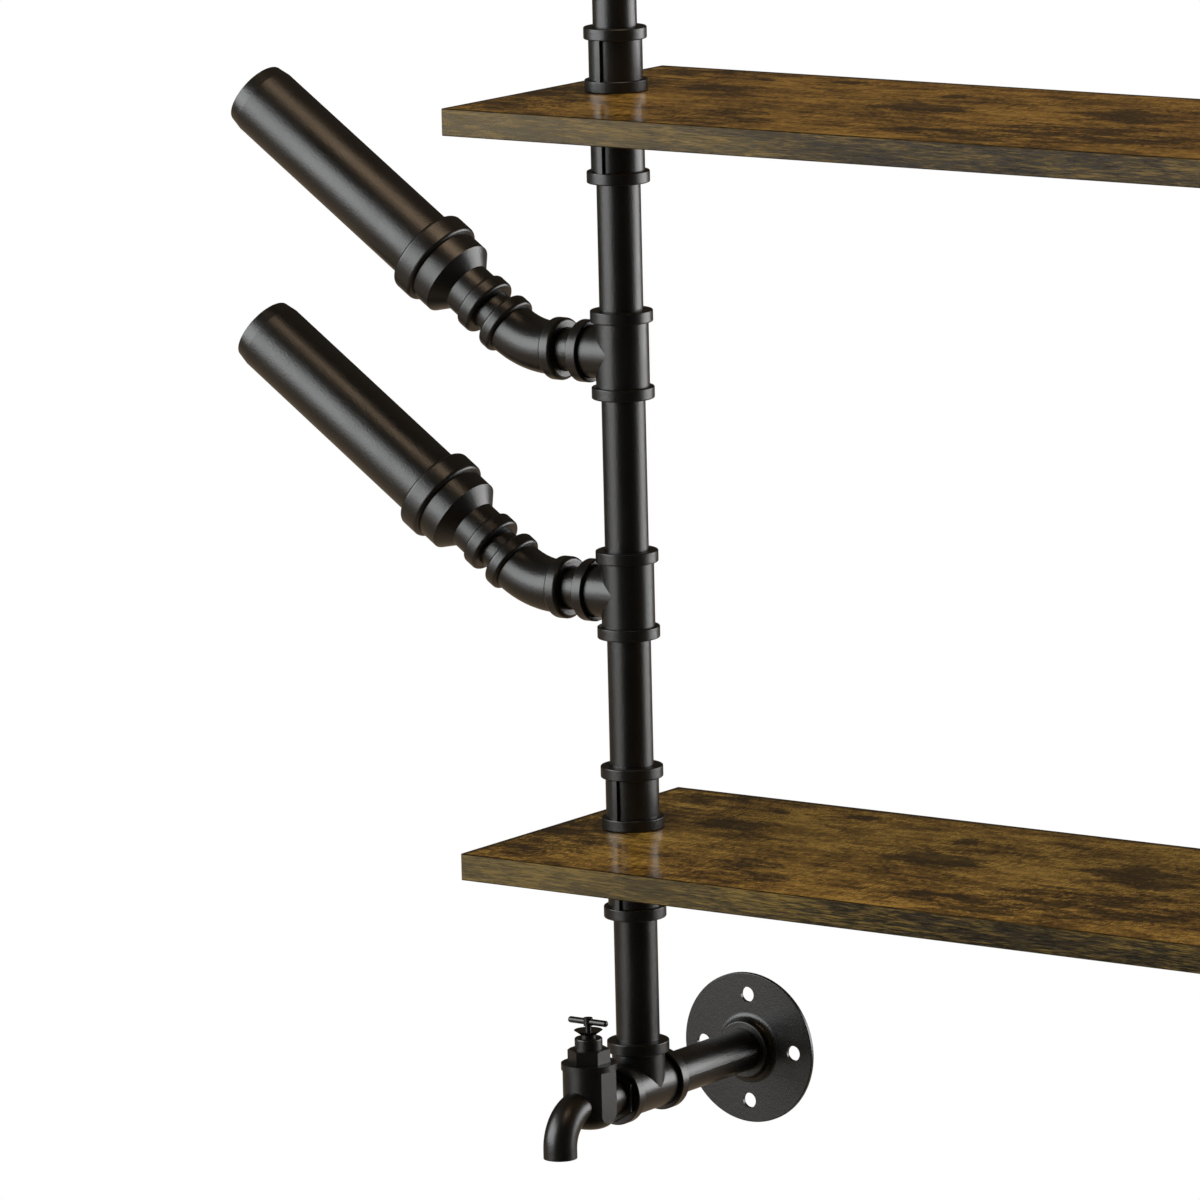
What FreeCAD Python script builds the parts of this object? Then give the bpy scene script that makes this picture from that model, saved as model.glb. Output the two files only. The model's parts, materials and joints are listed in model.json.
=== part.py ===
import FreeCAD, Part
import math
import os
import re
import Sketcher

# Bar shelf on iron pipe: two boards between two pipe posts that stand off the wall, four tilted
# bottle tubes on side branches, and a bib tap at the foot of each post.
# The origin lies in the wall plane, midway between the four flanges.
# +Y points into the wall, +Z up, +X to the right.
# All lengths are in millimetres and all angles in degrees.

sizes = {
    # boards and the frame's spacing
    "post_spacing": 1107,
    "board_overhang": 46.5,
    "board_depth": 229,
    "board_thick": 16.5,
    "board_edge_round": 0.6,
    "board_hole_clearance": 1,
    "wall_gap": 6,
    "clear_gap": 435,
    "end_drop": 145.2,
    # three-quarter inch pipe and its threads
    "pipe_radius": 13.35,
    "pipe_wall": 2.8,
    "thread_clearance": 0.15,
    "thread_depth": 13.5,
    "cut_overrun": 1,
    # the most of a step or wall that a fillet on it may take
    "fillet_share": 0.9,
    # beaded fittings on the posts
    "fitting_wall": 2.95,
    "bead_rise": 2.8,
    "bead_length": 7.3,
    "bead_round": 0.8,
    "coupling_length": 38.9,
    "coupling_stop": 4,
    "rib_width": 3,
    "rib_height": 2.6,
    "tee_half_run": 27,
    "tee_branch": 29.4,
    "upper_tee_drop": 143.3,
    "lower_tee_rise": 144.7,
    # top corner elbow
    "corner_throat": 1.7,
    # shallow elbow, nipples and reducer of a bottle branch
    "turn_angle": 35,
    "elbow_leg": 26.95,
    "elbow_bend": 56,
    "elbow_bead_length": 9.2,
    "elbow_bead_round": 2.4,
    "inner_nipple_show": 11.9,
    "outer_nipple_show": 9.2,
    "reducer_bead_rise": 2.6,
    "reducer_bead_length": 10.4,
    "reducer_neck": 11,
    "reducer_cone": 8.5,
    "reducer_waist_wall": 2.55,
    "reducer_waist": 12.9,
    "reducer_mouth_rise": 2.9,
    "reducer_mouth": 15.2,
    "reducer_round": 2.6,
    "reducer_socket": 20,
    # bottle tube
    "tube_radius": 22.45,
    "tube_wall": 2.65,
    "tube_length": 175.4,
    "tube_taper": 8,
    "tube_lip": 1.35,
    "tube_round": 4,
    # wall flange
    "flange_radius": 47.5,
    "flange_thick": 2.4,
    "flange_rim_round": 0.5,
    "flange_pitch_radius": 33.8,
    "flange_hole_radius": 4.8,
    "hub_wall": 4.65,
    "hub_height": 9.2,
    "hub_fillet": 4.5,
    "hub_round": 0.9,
    "flange_stop": 3,
    # tap body
    "tap_reach": 52,
    "column_radius": 16.3,
    "column_above": 25.5,
    "column_below": 15,
    "column_foot_round": 10,
    "column_lip": 4,
    "column_lip_rise": 0.8,
    "column_flat": 14.4,
    "inlet_hex": 29.5,
    "inlet_hex_thick": 3,
    "inlet_neck_radius": 12.5,
    "inlet_bore": 4.6,
    "seat_bore": 5,
    "seat_width": 2,
    "seat_level": 8,
    "seat_rise": 2,
    "chamber_radius": 11.5,
    "spout_radius": 10.3,
    "spout_bore": 8.2,
    "spout_bore_start": 8,
    "spout_run": 10,
    "spout_bend": 22,
    "spout_fall": 5.5,
    # bonnet, gland nut and spindle
    "bonnet_hex": 22.6,
    "bonnet_height": 8.5,
    "bonnet_chamfer": 1.2,
    "bonnet_skirt": 7,
    "bonnet_boss_radius": 6.5,
    "bonnet_boss": 4.7,
    "gland_radius": 8.5,
    "gland_height": 7.1,
    "gland_round": 1.2,
    "spindle_radius": 4.9,
    "running_clearance": 0.05,
    "spindle_show": 1.8,
    "flare_radius": 8.7,
    "flare_height": 2.7,
    "stem_radius": 1.9,
    "stem_height": 2.6,
    "knuckle_radius": 2.8,
    "knuckle_height": 5,
    "bar_radius": 1.95,
    "bar_length": 28.5,
    "bar_end_round": 1.4,
    # jumper and its washer
    "washer_radius": 6.5,
    "washer_thick": 2.5,
    "plate_radius": 6.9,
    "plate_thick": 2.5,
    "pin_radius": 2,
    "pin_length": 7.5,
    "pin_end_clearance": 1,
    "spindle_lift_gap": 0.3,
    "spigot_radius": 1.6,
    "spigot_length": 1.9,
}

doc = FreeCAD.newDocument("BarShelf")
sheet = doc.addObject("Spreadsheet::Sheet", "Sizes")
for row, (size_name, number) in enumerate(sizes.items(), start=1):
    sheet.set("A%d" % row, size_name)
    sheet.set("B%d" % row, str(number))
    sheet.setAlias("B%d" % row, size_name)
doc.recompute()

# Levels and distances that several pieces share, as expressions on the sheet.
post_y = "(board_depth / 2 + wall_gap)"
board_level = {"upper": "(clear_gap / 2)", "lower": "(-clear_gap / 2 - board_thick)"}
flange_level = "(clear_gap / 2 + board_thick + end_drop)"
tee_level = {
    "upper": "(clear_gap / 2 - upper_tee_drop)",
    "lower": "(lower_tee_rise - clear_gap / 2)",
}
coupling_socket = "((coupling_length - coupling_stop) / 2)"
socket_radius = "(pipe_radius + thread_clearance)"
pipe_bore = "(pipe_radius - pipe_wall)"
fitting_radius = "(pipe_radius + fitting_wall)"
bead_radius = "(pipe_radius + fitting_wall + bead_rise)"
hub_radius = "(pipe_radius + hub_wall)"
corner_bend = "(pipe_radius + fitting_wall + corner_throat)"
corner_x = "(tee_branch + inner_nipple_show + elbow_leg)"
reducer_start = "(elbow_leg + outer_nipple_show)"
reducer_length = (
    "(reducer_bead_length + reducer_neck + reducer_cone + reducer_waist + reducer_mouth)"
)
small_bead_radius = "(pipe_radius + fitting_wall + reducer_bead_rise)"
waist_radius = "(tube_radius + reducer_waist_wall)"
mouth_radius = "(tube_radius + reducer_waist_wall + reducer_mouth_rise)"
tube_bore = "(tube_radius - tube_wall)"
tube_shoulder = "(tube_length - tube_taper)"
tap_face = "(tap_reach - tee_half_run)"
tail_end = "(tap_reach - tee_half_run + thread_depth)"
bonnet_top = "(column_above + bonnet_height)"
gland_top = "(column_above + bonnet_height + gland_height)"
spindle_bore = "(spindle_radius + running_clearance)"
plate_level = "(seat_level + washer_thick)"
plate_top = "(seat_level + washer_thick + plate_thick)"
flare_level = "(column_above + bonnet_height + gland_height + spindle_show)"
knuckle_level = "(" + flare_level + " + flare_height + stem_height)"
bar_level = "(" + knuckle_level + " + knuckle_height / 2)"

# Each side of the shelf has its own sign along X.
side_sign = {"left": "-", "right": ""}
full_turn = 360
half_turn = 180
quarter_turn = 90

nodes = []


def bound(text):
    """The expression with the sheet's name before every size."""
    def with_sheet(word):
        return "Sizes." + word[0] if word[0] in sizes else word[0]
    return re.sub(r"[a-z_]+", with_sheet, text)


def bind(thing, target, text):
    thing.setExpression(target, bound(text))


def place(piece, x="0", y="0", z="0", turn=None):
    """Sets a piece's place; turn is an axis and an angle, which may be an expression."""
    if turn:
        axis, angle = turn
        piece.Placement = FreeCAD.Placement(FreeCAD.Vector(), FreeCAD.Rotation(axis, quarter_turn))
        bind(piece, "Placement.Rotation.Angle", str(angle))
    bind(piece, "Placement.Base.x", x)
    bind(piece, "Placement.Base.y", y)
    bind(piece, "Placement.Base.z", z)
    return piece


def new_body(name):
    body = doc.addObject("PartDesign::Body", name)
    body.Label = name
    return body


def origin_part(body, role):
    return [part for part in body.Origin.OriginFeatures if part.Role == role][0]


def new_sketch(body, name, plane, shift=None, tilt=None):
    """A sketch on one of the body's own origin planes, moved along the plane's axes."""
    sketch = body.newObject("Sketcher::SketchObject", body.Name + "_" + name)
    sketch.AttachmentSupport = [(origin_part(body, plane), "")]
    sketch.MapMode = "FlatFace"
    for axis, text in (shift or {}).items():
        bind(sketch, "AttachmentOffset.Base." + axis, text)
    if tilt:
        bind(sketch, "AttachmentOffset.Rotation.Angle", tilt)
    return sketch


def pin_point(sketch, element, end, across, up):
    """Ties one point of a sketch to two expressions measured from the sketch's origin."""
    for kind, axis, text in (("DistanceX", -2, across), ("DistanceY", -1, up)):
        if text == "0":
            sketch.addConstraint(Sketcher.Constraint("PointOnObject", element, end, axis))
        else:
            index = sketch.addConstraint(Sketcher.Constraint(kind, -1, 1, element, end, 1.0))
            bind(sketch, "Constraints[%d]" % index, text)


def outline(body, name, plane, corners, shift=None, tilt=None):
    """A closed outline of straight lines through corners given as expressions."""
    sketch = new_sketch(body, name, plane, shift, tilt)
    count = len(corners)
    start = [FreeCAD.Vector(math.cos(math.tau * i / count), math.sin(math.tau * i / count), 0)
             for i in range(count)]
    for i in range(count):
        sketch.addGeometry(Part.LineSegment(start[i], start[(i + 1) % count]), False)
    for i in range(count):
        sketch.addConstraint(Sketcher.Constraint("Coincident", i, 2, (i + 1) % count, 1))
    for i, (across, up) in enumerate(corners):
        pin_point(sketch, i, 1, across, up)
    return sketch


def circles(body, name, plane, rings, shift=None):
    """Circles given as centre across, centre up and radius."""
    sketch = new_sketch(body, name, plane, shift)
    for i, (across, up, radius) in enumerate(rings):
        sketch.addGeometry(Part.Circle(FreeCAD.Vector(), FreeCAD.Vector(0, 0, 1), 1.0), False)
        pin_point(sketch, i, 3, across, up)
        index = sketch.addConstraint(Sketcher.Constraint("Radius", i, 1.0))
        bind(sketch, "Constraints[%d]" % index, radius)
    return sketch


def hexagon(body, name, plane, across_flats, shift=None):
    """A hexagon whose corners lie up and down in the sketch."""
    half = "(" + across_flats + " / 2)"
    corner = "(" + across_flats + " / sqrt(3))"
    corners = [("0", corner), ("-" + half, corner + " / 2"), ("-" + half, "-" + corner + " / 2"),
               ("0", "-" + corner), (half, "-" + corner + " / 2"), (half, corner + " / 2")]
    return outline(body, name, plane, corners, shift)


def turned(body, kind, sketch, axis, angle=str(full_turn)):
    """A revolution or groove of a sketch about one of its axes or the body's."""
    feature = body.newObject("PartDesign::" + kind, sketch.Name + "_" + kind.lower())
    feature.Profile = sketch
    feature.ReferenceAxis = (origin_part(body, axis), [""]) if axis == "Y_Axis" else (sketch, [axis])
    bind(feature, "Angle", angle)
    return feature


def extruded(body, kind, sketch, length):
    feature = body.newObject("PartDesign::" + kind, sketch.Name + "_" + kind.lower())
    feature.Profile = sketch
    if length is None:
        feature.Type = 1
    else:
        bind(feature, "Length", length)
    return feature


def limited(amount, wall):
    """A fillet's radius, kept within its share of the wall or step that carries it."""
    return "min(" + amount + ", " + wall + " * fillet_share)"


def round_rings(body, name, amount, radius, height=None):
    """Fillets the circular edges of one radius, at any height or at the one given."""
    doc.recompute()
    base = body.Tip
    tolerance = 1e-4
    ring_radius = body.evalExpression(bound(radius))
    ring_height = None if height is None else body.evalExpression(bound(height))

    def wanted(edge):
        ring = edge.Curve
        if not isinstance(ring, Part.Circle) or abs(ring.Radius - ring_radius) > tolerance:
            return False
        return ring_height is None or abs(ring.Center.z - ring_height) < tolerance

    names = ["Edge%d" % (i + 1) for i, edge in enumerate(base.Shape.Edges) if wanted(edge)]
    fillet = body.newObject("PartDesign::Fillet", body.Name + "_" + name)
    fillet.Base = (base, names)
    bind(fillet, "Radius", amount)
    return fillet


def lathed(name, corners):
    """A body turned about Z from a closed outline of radii and heights."""
    body = new_body(name)
    turned(body, "Revolution", outline(body, "profile", "XZ_Plane", corners), "V_Axis")
    return body


def pipe(name, length):
    """A length of pipe that stands on its own origin."""
    return lathed(name, [(pipe_bore, "0"), ("pipe_radius", "0"), ("pipe_radius", length),
                         (pipe_bore, length)])


def group(name, members):
    compound = doc.addObject("Part::Compound", name)
    compound.Label = name
    compound.Links = members
    nodes.append(compound)


def make_board(tier):
    """A board with a hole for each post, standing on the level of its underside."""
    body = new_body(tier + "_board")
    half_length = "(post_spacing / 2 + board_overhang)"
    half_depth = "(board_depth / 2)"
    corners = [("-" + half_length, "-" + half_depth), (half_length, "-" + half_depth),
               (half_length, half_depth), ("-" + half_length, half_depth)]
    extruded(body, "Pad", outline(body, "outline", "XY_Plane", corners), "board_thick")
    doc.recompute()
    base = body.Tip
    fillet = body.newObject("PartDesign::Fillet", body.Name + "_edges")
    fillet.Base = (base, ["Edge%d" % (i + 1) for i in range(len(base.Shape.Edges))])
    bind(fillet, "Radius", "board_edge_round")
    hole = "(pipe_radius + board_hole_clearance)"
    rings = [("-post_spacing / 2", "0", hole), ("post_spacing / 2", "0", hole)]
    holes = extruded(body, "Pocket", circles(body, "holes", "XY_Plane", rings), None)
    holes.Reversed = True
    place(body, y="-" + post_y, z=board_level[tier])
    nodes.append(body)


def make_coupling(name, x, z):
    """A beaded coupling with two ribs and an inner stop, standing on its lower face."""
    body = new_body(name)
    end = "coupling_length"
    far_bead = "(coupling_length - bead_length)"
    skin = [("0", "0"), (bead_radius, "0"), (bead_radius, "bead_length"),
            (fitting_radius, "bead_length"), (fitting_radius, far_bead),
            (bead_radius, far_bead), (bead_radius, end), ("0", end)]
    turned(body, "Revolution", outline(body, "skin", "XZ_Plane", skin), "V_Axis")
    round_rings(body, "beads", limited("bead_round", "bead_rise"), bead_radius)
    reach = "(" + fitting_radius + " + rib_height)"
    rib = [("-rib_width / 2", "-" + reach), ("rib_width / 2", "-" + reach),
           ("rib_width / 2", reach), ("-rib_width / 2", reach)]
    ribs = outline(body, "ribs", "XY_Plane", rib, {"z": "bead_length / 2"})
    extruded(body, "Pad", ribs, "coupling_length - bead_length")
    near_stop = coupling_socket
    far_stop = "(coupling_length - " + coupling_socket + ")"
    bore = [("0", "-cut_overrun"), (socket_radius, "-cut_overrun"), (socket_radius, near_stop),
            (pipe_bore, near_stop), (pipe_bore, far_stop), (socket_radius, far_stop),
            (socket_radius, end + " + cut_overrun"), ("0", end + " + cut_overrun")]
    turned(body, "Groove", outline(body, "bore", "XZ_Plane", bore), "V_Axis")
    place(body, x, "-" + post_y, z)
    nodes.append(body)


def leg_corners(leg, bead, start):
    """The outer outline of a fitting's leg along the sketch's own X axis."""
    return [(start, "0"), (leg, "0"), (leg, bead_radius), (leg + " - " + bead, bead_radius),
            (leg + " - " + bead, fitting_radius), (start, fitting_radius)]


def bore_corners(leg, start):
    """The passage of a fitting's leg, widened to a threaded socket at its end."""
    floor = "(" + leg + " - thread_depth)"
    end = "(" + leg + " + cut_overrun)"
    return [(start, "0"), (end, "0"), (end, socket_radius), (floor, socket_radius),
            (floor, pipe_bore), (start, pipe_bore)]


def make_tee(name):
    """A tee with its run along Z, centred on its origin, and its branch along X."""
    body = new_body(name)
    end = "tee_half_run"
    bead = "(tee_half_run - bead_length)"
    run = [("0", "-" + end), (bead_radius, "-" + end), (bead_radius, "-" + bead),
           (fitting_radius, "-" + bead), (fitting_radius, bead), (bead_radius, bead),
           (bead_radius, end), ("0", end)]
    turned(body, "Revolution", outline(body, "run", "XZ_Plane", run), "V_Axis")
    branch = outline(body, "branch", "XZ_Plane", leg_corners("tee_branch", "bead_length", "0"))
    turned(body, "Revolution", branch, "H_Axis")
    round_rings(body, "beads", limited("bead_round", "bead_rise"), bead_radius)
    floor = "(tee_half_run - thread_depth)"
    over = "(tee_half_run + cut_overrun)"
    bore = [("0", "-" + over), (socket_radius, "-" + over), (socket_radius, "-" + floor),
            (pipe_bore, "-" + floor), (pipe_bore, floor), (socket_radius, floor),
            (socket_radius, over), ("0", over)]
    turned(body, "Groove", outline(body, "run_bore", "XZ_Plane", bore), "V_Axis")
    side = outline(body, "branch_bore", "XZ_Plane", bore_corners("tee_branch", "0"))
    turned(body, "Groove", side, "H_Axis")
    nodes.append(body)
    return body


def make_elbow(name, bend, leg, turn, bead, bead_round):
    """An elbow about its bend centre: one leg along +X, the other turned up by an angle."""
    body = new_body(name)
    straight = "(" + leg + " - " + bend + " * tan(" + turn + " / 2))"
    near = ({"y": "-" + bend}, None)
    far = ({"x": "-" + bend + " * sin(" + turn + ")", "y": "-" + bend + " * cos(" + turn + ")"},
           str(half_turn) + " - " + turn)
    ring = circles(body, "bend", "YZ_Plane", [("0", "-" + bend, fitting_radius)])
    turned(body, "Revolution", ring, "Y_Axis", turn)
    for label, (shift, tilt) in (("near", near), ("far", far)):
        leg_outline = leg_corners(straight, bead, "0")
        skin = outline(body, label + "_leg", "XZ_Plane", leg_outline, shift, tilt)
        turned(body, "Revolution", skin, "H_Axis")
    round_rings(body, "beads", limited(bead_round, "bead_rise"), bead_radius)
    ring = circles(body, "bend_bore", "YZ_Plane", [("0", "-" + bend, pipe_bore)])
    turned(body, "Groove", ring, "Y_Axis", turn)
    for label, (shift, tilt) in (("near", near), ("far", far)):
        start = "(" + straight + " - thread_depth)"
        end = "(" + straight + " + cut_overrun)"
        socket = [(start, "0"), (end, "0"), (end, socket_radius), (start, socket_radius)]
        turned(body, "Groove", outline(body, label + "_socket", "XZ_Plane", socket, shift, tilt),
               "H_Axis")
        passage = [("0", "0"), (end, "0"), (end, pipe_bore), ("0", pipe_bore)]
        turned(body, "Groove", outline(body, label + "_passage", "XZ_Plane", passage, shift, tilt),
               "H_Axis")
    nodes.append(body)
    return body


def make_flange(name, x, z):
    """A round wall flange, its back in the wall plane, with four screw holes."""
    body = new_body(name)
    skin = [(socket_radius, "0"), ("flange_radius", "0"), ("flange_radius", "flange_thick"),
            (hub_radius, "flange_thick"), (hub_radius, "hub_height"),
            (socket_radius, "hub_height")]
    turned(body, "Revolution", outline(body, "skin", "XZ_Plane", skin), "V_Axis")
    step = "(hub_height - flange_thick - hub_round)"
    round_rings(body, "hub_foot", limited("hub_fillet", step), hub_radius, "flange_thick")
    round_rings(body, "hub_face", "hub_round", hub_radius, "hub_height")
    round_rings(body, "rim", limited("flange_rim_round", "flange_thick"), "flange_radius",
                "flange_thick")
    hole = circles(body, "hole", "XY_Plane", [("flange_pitch_radius", "0", "flange_hole_radius")])
    cut = extruded(body, "Pocket", hole, None)
    cut.Reversed = True
    doc.recompute()
    pattern = body.newObject("PartDesign::PolarPattern", body.Name + "_holes")
    pattern.Originals = [cut]
    pattern.Axis = (origin_part(body, "Z_Axis"), [""])
    pattern.Angle = full_turn
    pattern.Occurrences = 4
    body.Tip = pattern
    place(body, x, "0", z, (FreeCAD.Vector(1, 0, 0), quarter_turn))
    nodes.append(body)


def make_reducer(name):
    """A reducing coupling that stands on its small end."""
    neck = "reducer_bead_length"
    cone = "(reducer_bead_length + reducer_neck)"
    waist = "(" + cone + " + reducer_cone)"
    mouth = "(" + waist + " + reducer_waist)"
    floor = "(" + reducer_length + " - reducer_socket)"
    wide = "(tube_radius + thread_clearance)"
    body = lathed(name, [
        (socket_radius, "0"), (small_bead_radius, "0"), (small_bead_radius, neck),
        (fitting_radius, neck), (fitting_radius, cone), (waist_radius, waist),
        (waist_radius, mouth), (mouth_radius, mouth),
        (mouth_radius, reducer_length), (wide, reducer_length), (wide, floor),
        (tube_bore, floor), (tube_bore, waist), (pipe_bore, cone), (pipe_bore, "thread_depth"),
        (socket_radius, "thread_depth")])
    round_rings(body, "small_bead", limited("reducer_round", "reducer_bead_rise"),
                small_bead_radius)
    round_rings(body, "mouth", limited("reducer_round", "reducer_mouth_rise"), mouth_radius)
    nodes.append(body)
    return body


def make_tube(name):
    """An open bottle tube, standing on its lower end, tapered at its mouth."""
    body = lathed(name, [
        (tube_bore, "0"), ("tube_radius", "0"), ("tube_radius", tube_shoulder),
        ("(" + tube_bore + " + tube_lip)", "tube_length"), (tube_bore, "tube_length")])
    round_rings(body, "mouth", "tube_round", "tube_radius", tube_shoulder)
    nodes.append(body)
    return body


def make_tap_body(name):
    """The tap's casting about its column's axis: column, inlet, spout and water ways."""
    body = new_body(name)
    foot = "-column_below"
    lip = "(column_above - column_lip)"
    lip_radius = "(column_radius + column_lip_rise)"
    column = [("0", foot), ("column_radius", foot), ("column_radius", lip), (lip_radius, lip),
              (lip_radius, "column_above"), ("0", "column_above")]
    turned(body, "Revolution", outline(body, "column", "XZ_Plane", column), "V_Axis")
    round_rings(body, "foot", "column_foot_round", "column_radius", foot)
    outside = "(column_radius + cut_overrun)"
    for label, sign in (("left", "-"), ("right", "")):
        flat = [(sign + "column_flat", "-" + outside), (sign + outside, "-" + outside),
                (sign + outside, outside), (sign + "column_flat", outside)]
        face = outline(body, label + "_flat", "XY_Plane", flat, {"z": lip})
        extruded(body, "Pocket", face, None)
    inlet = [("0", "0"), (tail_end, "0"), (tail_end, "pipe_radius"), (tap_face, "pipe_radius"),
             (tap_face, "inlet_neck_radius"), ("0", "inlet_neck_radius")]
    turned(body, "Revolution", outline(body, "inlet", "YZ_Plane", inlet), "H_Axis")
    collar = hexagon(body, "inlet_hex", "XZ_Plane", "inlet_hex", {"z": "-" + tap_face})
    extruded(body, "Pad", collar, "inlet_hex_thick")
    add_spout(body, "Revolution", "Pad", "spout_radius", "0", "0")
    floor = "(seat_level - seat_rise)"
    seat_edge = "(seat_bore + seat_width)"
    over = "(column_above + cut_overrun)"
    chamber = [("0", "0"), ("seat_bore", "0"), ("seat_bore", "seat_level"),
               (seat_edge, "seat_level"), (seat_edge, floor), ("chamber_radius", floor),
               ("chamber_radius", over), ("0", over)]
    turned(body, "Groove", outline(body, "chamber", "XZ_Plane", chamber), "V_Axis")
    way = [("-seat_bore / 2", "0"), (tail_end + " + cut_overrun", "0"),
           (tail_end + " + cut_overrun", "inlet_bore"), ("-seat_bore / 2", "inlet_bore")]
    turned(body, "Groove", outline(body, "inlet_way", "YZ_Plane", way), "H_Axis")
    add_spout(body, "Groove", "Pocket", "spout_bore", "-spout_bore_start", "cut_overrun")
    nodes.append(body)
    return body


def add_spout(body, turn_kind, drop_kind, radius, start, over):
    """Adds the spout's tube, or cuts its bore: forward, round the bend and down."""
    forward = [(start, "0"), ("-spout_run", "0"), ("-spout_run", radius), (start, radius)]
    label = drop_kind.lower()
    turned(body, turn_kind, outline(body, "spout_run_" + label, "YZ_Plane", forward), "H_Axis")
    bend = circles(body, "spout_bend_" + label, "XZ_Plane", [("0", "0", radius)],
                   {"z": "spout_run"})
    pivot = bend.addGeometry(Part.LineSegment(FreeCAD.Vector(-1, -1, 0), FreeCAD.Vector(1, -1, 0)),
                             True)
    bend.addConstraint(Sketcher.Constraint("Symmetric", pivot, 1, pivot, 2, -2))
    for text, kind, ends in (("-spout_bend", "DistanceY", (-1, 1, pivot, 1)),
                             ("spout_bend", "DistanceX", (pivot, 1, pivot, 2))):
        index = bend.addConstraint(Sketcher.Constraint(kind, *ends, 1.0))
        bind(bend, "Constraints[%d]" % index, text)
    turned(body, turn_kind, bend, "Axis0", str(quarter_turn))
    mouth = "-spout_bend - spout_fall - " + over
    ring = circles(body, "spout_mouth_" + label, "XY_Plane",
                   [("0", "-spout_run - spout_bend", radius)], {"z": mouth})
    drop = extruded(body, drop_kind, ring, "spout_fall + " + over)
    drop.Reversed = drop_kind == "Pocket"


def make_bonnet(name):
    """The bonnet: a skirt in the column, a hexagon on it and a boss for the gland nut."""
    body = new_body(name)
    skirt = "(column_above - bonnet_skirt)"
    boss = "(" + bonnet_top + " + bonnet_boss)"
    skirt_radius = "(chamber_radius - thread_clearance)"
    core = [("0", skirt), (skirt_radius, skirt), (skirt_radius, "column_above"),
            ("bonnet_boss_radius", "column_above"), ("bonnet_boss_radius", boss), ("0", boss)]
    turned(body, "Revolution", outline(body, "core", "XZ_Plane", core), "V_Axis")
    hexagon_sketch = new_turned_hexagon(body)
    extruded(body, "Pad", hexagon_sketch, "bonnet_height")
    corner = "(bonnet_hex / sqrt(3))"
    edge = [(corner + " - bonnet_chamfer", bonnet_top + " + cut_overrun"),
            (corner + " - bonnet_chamfer", bonnet_top),
            (corner, bonnet_top + " - bonnet_chamfer * tan(30)"),
            (corner + " + cut_overrun", bonnet_top + " - bonnet_chamfer * tan(30)"),
            (corner + " + cut_overrun", bonnet_top + " + cut_overrun")]
    turned(body, "Groove", outline(body, "corners", "XZ_Plane", edge), "V_Axis")
    bore = [("0", skirt + " - cut_overrun"), (spindle_bore, skirt + " - cut_overrun"),
            (spindle_bore, boss + " + cut_overrun"), ("0", boss + " + cut_overrun")]
    turned(body, "Groove", outline(body, "bore", "XZ_Plane", bore), "V_Axis")
    nodes.append(body)
    return body


def new_turned_hexagon(body):
    """The bonnet's hexagon on top of the column, its corners to front and back."""
    return hexagon(body, "hexagon", "XY_Plane", "bonnet_hex", {"z": "column_above"})


def make_gland_nut(name):
    """A round cap over the bonnet's boss, bored for the spindle."""
    seat = "(" + bonnet_top + " + bonnet_boss)"
    inside = "(bonnet_boss_radius + thread_clearance)"
    body = lathed(name, [(inside, bonnet_top), ("gland_radius", bonnet_top),
                         ("gland_radius", gland_top), (spindle_bore, gland_top),
                         (spindle_bore, seat), (inside, seat)])
    round_rings(body, "top", "gland_round", "gland_radius", gland_top)
    nodes.append(body)
    return body


def make_spindle(name):
    """The spindle with its flared collar, its stem and the knuckle for the handle bar."""
    foot = "(" + plate_top + " + spindle_lift_gap)"
    pin_end = "(" + plate_top + " + pin_length + pin_end_clearance)"
    pin_bore = "(pin_radius + running_clearance)"
    flare_top = "(" + flare_level + " + flare_height)"
    top = "(" + knuckle_level + " + knuckle_height)"
    body = lathed(name, [
        (pin_bore, foot), ("spindle_radius", foot), ("spindle_radius", flare_level),
        ("flare_radius", flare_top), ("stem_radius", flare_top), ("stem_radius", knuckle_level),
        ("knuckle_radius", knuckle_level), ("knuckle_radius", top), ("0", top), ("0", pin_end),
        (pin_bore, pin_end)])
    hole = circles(body, "bar_hole", "YZ_Plane", [("0", bar_level, "bar_radius")])
    cut = extruded(body, "Pocket", hole, None)
    cut.Midplane = True
    nodes.append(body)
    return body


def make_handle_bar(name):
    """The T bar through the spindle's knuckle, rounded at both ends."""
    body = new_body(name)
    ring = circles(body, "section", "YZ_Plane", [("0", bar_level, "bar_radius")])
    bar = extruded(body, "Pad", ring, "bar_length")
    bar.Midplane = True
    round_rings(body, "ends", "bar_end_round", "bar_radius")
    nodes.append(body)
    return body


def make_jumper(name):
    """The valve plate with its pin above and a spigot that carries the washer."""
    pin_top = "(" + plate_top + " + pin_length)"
    spigot = "(" + plate_level + " - spigot_length)"
    body = lathed(name, [("0", spigot), ("spigot_radius", spigot), ("spigot_radius", plate_level),
                         ("plate_radius", plate_level), ("plate_radius", plate_top),
                         ("pin_radius", plate_top), ("pin_radius", pin_top), ("0", pin_top)])
    nodes.append(body)
    return body


def make_washer(name):
    """The washer under the jumper, resting on the seat."""
    inside = "(spigot_radius + running_clearance)"
    body = lathed(name, [(inside, "seat_level"), ("washer_radius", "seat_level"),
                         ("washer_radius", plate_level), (inside, plate_level)])
    nodes.append(body)
    return body


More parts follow.
